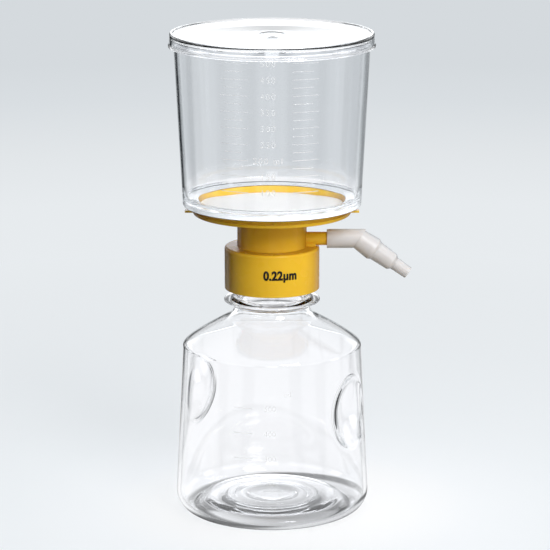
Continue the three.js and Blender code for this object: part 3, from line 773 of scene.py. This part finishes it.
def make_floor():
    """A wide pale floor with a painted pool of light: nearly white round the unit and grey-blue far
    away. Through the clear plastic it shows painted shade in dark strips, which draw the outlines
    of the walls."""
    deselect()
    bpy.ops.mesh.primitive_circle_add(vertices=128, radius=6, fill_type="NGON")
    floor = bpy.context.object
    floor.name = "floor"
    floor.location.z = -0.0002
    bpy.ops.object.transform_apply(location=True)
    material, tree = blank("floor_paper")
    place = add(tree, "ShaderNodeTexCoord").outputs["Object"]
    away = add(tree, "ShaderNodeVectorMath", {0: place}, operation="LENGTH")
    share = add(tree, "ShaderNodeMath", {0: away.outputs["Value"], 1: 2.2}, operation="DIVIDE")
    # painted pool of light: the floor's colour runs from nearly white round the unit to grey-blue
    # far away
    shade = add(tree, "ShaderNodeValToRGB", {0: share.outputs[0]})
    stops = ((0.0, "#FDFDFE"), (0.03, "#FAFBFC"), (0.045, "#F4F7FA"), (0.068, "#EFF3F6"),
             (0.09, "#EDF1F4"), (0.15, "#EAEEF1"), (0.23, "#E8ECEF"), (0.36, "#E7EBEE"),
             (0.455, "#E2E6E9"), (0.577, "#D9DEE2"), (0.68, "#D5DADE"), (1.0, "#D5DADE"))
    for place_on_ramp, colour in stops[1:-1]:
        shade.color_ramp.elements.new(place_on_ramp).color = linear(colour)
    shade.color_ramp.elements[0].color = linear(stops[0][1])
    shade.color_ramp.elements[-1].color = linear(stops[-1][1])
    light = add(tree, "ShaderNodeLightPath")
    camera_ray = light.outputs["Is Camera Ray"]
    parts = add(tree, "ShaderNodeSeparateXYZ", {0: place})
    # painted shade: for light bouncing off the floor its colour is dark on the left and pale on the
    # right, so the unit's left side falls into shade; camera rays see the plain ramp colour
    across = add(tree, "ShaderNodeMapRange", {0: parts.outputs["X"], 1: -0.12, 2: 0.1})
    bounce = add(tree, "ShaderNodeMix", {
        0: across.outputs[0], 6: linear("#332B22"), 7: linear("#BCB1A2")}, data_type="RGBA")
    bounce = add(tree, "ShaderNodeMix", {
        0: camera_ray, 6: bounce.outputs[2], 7: shade.outputs[0]}, data_type="RGBA")
    paper = add(tree, "ShaderNodeBsdfDiffuse", {"Color": bounce.outputs[2]})
    glow = add(tree, "ShaderNodeEmission", {"Color": shade.outputs[0]})
    far = add(tree, "ShaderNodeMapRange", {0: away.outputs["Value"], 1: 0.2, 2: 0.6, 3: 0.7, 4: 1})
    seen = add(tree, "ShaderNodeMath", {0: camera_ray, 1: far.outputs[0]}, operation="MULTIPLY")
    direct = add(tree, "ShaderNodeMixShader", {
        0: seen.outputs[0], 1: paper.outputs[0], 2: glow.outputs[0]})

    # painted shade seen only through the clear plastic and in its reflections: dark strips fanning
    # out between the straight and the diagonal directions
    sideways = add(tree, "ShaderNodeMath", {0: parts.outputs["X"], 1: -AXIS.x}, operation="ADD")
    sideways = add(tree, "ShaderNodeMath", {0: sideways.outputs[0]}, operation="ABSOLUTE")
    back = add(tree, "ShaderNodeMath", {0: parts.outputs["Y"]}, operation="ABSOLUTE")
    off = add(tree, "ShaderNodeMath", {
        0: sideways.outputs[0], 1: back.outputs[0]}, operation="MINIMUM")
    reach = add(tree, "ShaderNodeMath", {
        0: sideways.outputs[0], 1: back.outputs[0]}, operation="MAXIMUM")
    diagonal = add(tree, "ShaderNodeMath", {
        0: off.outputs[0], 1: reach.outputs[0]}, operation="DIVIDE")
    diagonal = add(tree, "ShaderNodeMapRange", {
        0: diagonal.outputs[0], 1: 0.55, 2: 0.75, 3: 0, 4: 0.9})
    off = add(tree, "ShaderNodeMath", {0: off.outputs[0], 1: 0.05}, operation="SUBTRACT")
    slant = add(tree, "ShaderNodeMath", {
        0: off.outputs[0], 1: reach.outputs[0]}, operation="DIVIDE")
    strips = add(tree, "ShaderNodeValToRGB", {0: slant.outputs[0]})
    strips.color_ramp.elements[0].position = 0.24
    strips.color_ramp.elements[1].color = linear("#DCE0E3")
    for place_on_ramp, colour in ((0.31, "#20262B"), (0.55, "#20262B"), (0.7, "#DCE0E3")):
        strips.color_ramp.elements.new(place_on_ramp).color = linear(colour)
    strips.color_ramp.elements[0].color = linear("#FBFCFD")
    front = add(tree, "ShaderNodeMapRange", {0: parts.outputs["Y"], 1: -0.15, 2: 0, 3: 0.6, 4: 0})
    rightward = add(tree, "ShaderNodeMapRange", {
        0: parts.outputs["X"], 1: -0.05, 2: 0.05, 3: 0, 4: 0.45})
    near = add(tree, "ShaderNodeMapRange", {
        0: away.outputs["Value"], 1: 0.05, 2: 0.075, 3: 0.8, 4: 0})
    paler = add(tree, "ShaderNodeMath", {
        0: front.outputs[0], 1: rightward.outputs[0]}, operation="MAXIMUM")
    paler = add(tree, "ShaderNodeMath", {
        0: paler.outputs[0], 1: near.outputs[0]}, operation="MAXIMUM")
    paler = add(tree, "ShaderNodeMath", {
        0: paler.outputs[0], 1: diagonal.outputs[0]}, operation="MAXIMUM")
    strips = add(tree, "ShaderNodeMix", {
        0: paler.outputs[0], 6: strips.outputs[0], 7: linear("#F4F6F8")}, data_type="RGBA")
    # painted pool of light seen through the clear plastic: nearly white near the unit, grey farther
    # off
    fade = add(tree, "ShaderNodeMapRange", {0: away.outputs["Value"], 1: 0.35, 2: 0.95})
    tone = add(tree, "ShaderNodeMix", {
        0: fade.outputs[0], 6: linear("#FDFDFD"), 7: linear("#D3D7D9")}, data_type="RGBA")
    tone = add(tree, "ShaderNodeMix", {0: 1, 6: tone.outputs[2], 7: strips.outputs[2]},
               data_type="RGBA", blend_type="MULTIPLY")
    # painted shadow under the unit and along its standing ring, and painted dark reflections at two
    # spots beside the middle, seen only through the clear plastic
    under = add(tree, "ShaderNodeMapRange", {
        0: away.outputs["Value"], 1: 0.02, 2: 0.05, 3: 0.35, 4: 1.07})
    edge = add(tree, "ShaderNodeMath", {0: away.outputs["Value"], 1: 0.0505}, operation="SUBTRACT")
    edge = add(tree, "ShaderNodeMath", {0: edge.outputs[0]}, operation="ABSOLUTE")
    contact = add(tree, "ShaderNodeMapRange", {
        0: edge.outputs[0], 1: 0.003, 2: 0.008, 3: 0.2, 4: 1}, interpolation_type="SMOOTHSTEP")
    under = add(tree, "ShaderNodeMath", {
        0: under.outputs[0], 1: contact.outputs[0]}, operation="MULTIPLY")
    folded = add(tree, "ShaderNodeCombineXYZ", {0: sideways.outputs[0], 1: back.outputs[0]})
    flank = add(tree, "ShaderNodeVectorMath", {0: folded.outputs[0], 1: (0.036, 0.006, 0)},
                operation="DISTANCE")
    flank = add(tree, "ShaderNodeMapRange", {
        0: flank.outputs["Value"], 1: 0.005, 2: 0.012, 3: 0.1, 4: 1},
        interpolation_type="SMOOTHSTEP")
    under = add(tree, "ShaderNodeMath", {
        0: under.outputs[0], 1: flank.outputs[0]}, operation="MULTIPLY")
    bright = add(tree, "ShaderNodeEmission", {
        "Color": tone.outputs[2], "Strength": under.outputs[0]})
    through = add(tree, "ShaderNodeMath", {
        0: light.outputs["Is Glossy Ray"], 1: light.outputs["Is Transmission Ray"]},
        operation="MAXIMUM")
    both = add(tree, "ShaderNodeMixShader", {
        0: through.outputs[0], 1: direct.outputs[0], 2: bright.outputs[0]})
    add(tree, "ShaderNodeOutputMaterial", {"Surface": both.outputs[0]})
    floor.data.materials.append(material)


def light_world():
    """A studio with a broad light overhead and low bright panels square to the unit."""
    world = bpy.data.worlds.new("studio")
    bpy.context.scene.world = world
    world.use_nodes = True
    tree = world.node_tree
    tree.nodes.clear()
    way = add(tree, "ShaderNodeTexCoord").outputs["Generated"]
    parts = add(tree, "ShaderNodeSeparateXYZ", {0: way})
    right = add(tree, "ShaderNodeMath", {0: parts.outputs["X"]}, operation="ABSOLUTE")
    back = add(tree, "ShaderNodeMath", {0: parts.outputs["Y"]}, operation="ABSOLUTE")
    off_axis = add(tree, "ShaderNodeMath", {0: right.outputs[0], 1: back.outputs[0]},
                   operation="MINIMUM")
    between = add(tree, "ShaderNodeMapRange", {
        0: parts.outputs["Z"], 1: 0.03, 2: 0.12, 3: 0.06, 4: 0.85})
    window = add(tree, "ShaderNodeMapRange", {
        0: off_axis.outputs[0], 1: 0.1, 2: 0.16, 3: 2.7, 4: between.outputs[0]},
        interpolation_type="SMOOTHSTEP")
    corner = add(tree, "ShaderNodeMapRange", {
        0: off_axis.outputs[0], 1: 0.3, 2: 0.42, 3: 0, 4: 1.1}, interpolation_type="SMOOTHSTEP")
    window = add(tree, "ShaderNodeMath", {
        0: window.outputs[0], 1: corner.outputs[0]}, operation="ADD")
    overhead = add(tree, "ShaderNodeMapRange", {
        0: parts.outputs["Z"], 1: 0.22, 2: 0.42, 3: 0, 4: 1}, interpolation_type="SMOOTHSTEP")
    ceiling = add(tree, "ShaderNodeMapRange", {
        0: parts.outputs["Z"], 1: 0.5, 2: 0.95, 3: 1, 4: 1.15})
    across = add(tree, "ShaderNodeMapRange", {0: parts.outputs["X"], 1: -1, 2: 1})
    sides = add(tree, "ShaderNodeValToRGB", {0: across.outputs[0]})
    left_end, right_end = sides.color_ramp.elements
    left_end.position, left_end.color = 0.22, (0.04, 0.04, 0.04, 1)
    right_end.position, right_end.color = 0.95, (0.4, 0.4, 0.4, 1)
    for place_on_ramp in (0.48, 0.6):
        sides.color_ramp.elements.new(place_on_ramp).color = (1, 1, 1, 1)
    strength = add(tree, "ShaderNodeMix", {
        0: overhead.outputs[0], 2: window.outputs[0], 3: ceiling.outputs[0]})
    light = add(tree, "ShaderNodeLightPath")
    sides = add(tree, "ShaderNodeMath", {0: sides.outputs[0], 1: light.outputs["Is Glossy Ray"]},
                operation="MAXIMUM")
    strength = add(tree, "ShaderNodeMath", {0: strength.outputs[0], 1: sides.outputs[0]},
                   operation="MULTIPLY")
    studio = add(tree, "ShaderNodeBackground", {
        "Color": linear("#F4F6F8"), "Strength": strength.outputs[0]})
    backdrop = add(tree, "ShaderNodeBackground", {"Color": linear("#D5DADE"), "Strength": 1})
    both = add(tree, "ShaderNodeMixShader", {
        0: light.outputs["Is Camera Ray"], 1: studio.outputs[0], 2: backdrop.outputs[0]})
    add(tree, "ShaderNodeOutputWorld", {"Surface": both.outputs[0]})


def lamp(name, size, power, place, target=(0, 0, 0.13)):
    deselect()
    bpy.ops.object.light_add(type="AREA", location=place)
    made = bpy.context.object
    made.name = name
    made.data.shape, made.data.size, made.data.size_y = "RECTANGLE", *size
    made.data.energy = power
    made.rotation_euler = (Vector(target) - Vector(place)).to_track_quat("-Z", "Y").to_euler()


make_floor()
light_world()
lamp("key_softbox", (0.5, 0.7), 12.5, (0.5, -0.97, 0.95))

scene = bpy.context.scene
scene.view_settings.view_transform = "Standard"
scene.cycles.max_bounces = 24
scene.cycles.transmission_bounces = 24
scene.cycles.transparent_max_bounces = 24
scene.cycles.glossy_bounces = 8
